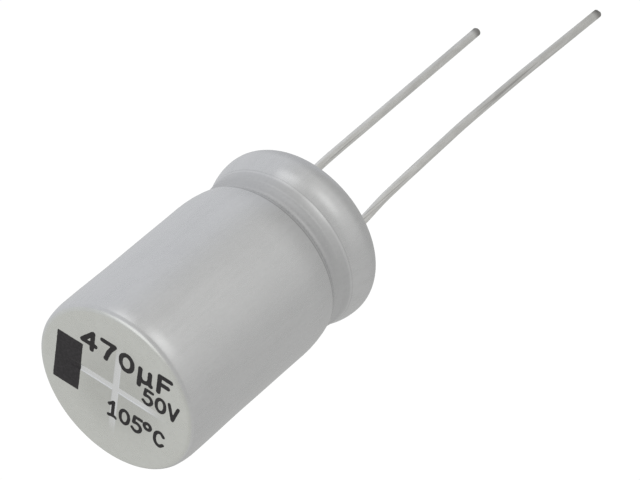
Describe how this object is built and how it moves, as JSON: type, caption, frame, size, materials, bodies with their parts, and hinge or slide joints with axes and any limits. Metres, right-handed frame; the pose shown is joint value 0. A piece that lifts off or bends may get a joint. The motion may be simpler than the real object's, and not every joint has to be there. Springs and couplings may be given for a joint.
{
  "type": "electrolytic capacitor",
  "caption": "Radial aluminium electrolytic capacitor: bare drawn can with scored vent end, bead groove and curled edge over a rubber seal, long and short wire leads.",
  "frame": {"origin": "centre of the seating plane, where the curled edge of the can and the outer face of the seal meet the board", "axes": "+Z along the can towards the vent end, leads along -Z, +X from the short cathode lead to the long anode lead"},
  "size_m": [0.0126, 0.0126, 0.0493],
  "materials": {
    "can_aluminium": "satin drawn aluminium, bare, with faint draw marks; dark print on the vent end",
    "seal_rubber": "moulded black butyl rubber, matt",
    "tab_aluminium": "plain pressed aluminium",
    "anode_foil": "etched and formed foil, dull grey",
    "cathode_foil": "etched foil, lighter dull grey",
    "separator_paper": "kraft paper soaked with electrolyte",
    "fixing_tape": "plain amber tape",
    "tinned_wire": "tinned copper-clad steel wire with drawing streaks, sheared ends"
  },
  "bodies": {
    "root": {"can": "can_aluminium", "rubber_seal": "seal_rubber", "anode_tab": "tab_aluminium", "cathode_tab": "tab_aluminium", "anode_foil": "anode_foil", "cathode_foil": "cathode_foil", "separator_paper_inner": "separator_paper", "separator_paper_outer": "separator_paper", "fixing_tape": "fixing_tape", "anode_lead": "tinned_wire", "cathode_lead": "tinned_wire"}
  },
  "joints": []
}
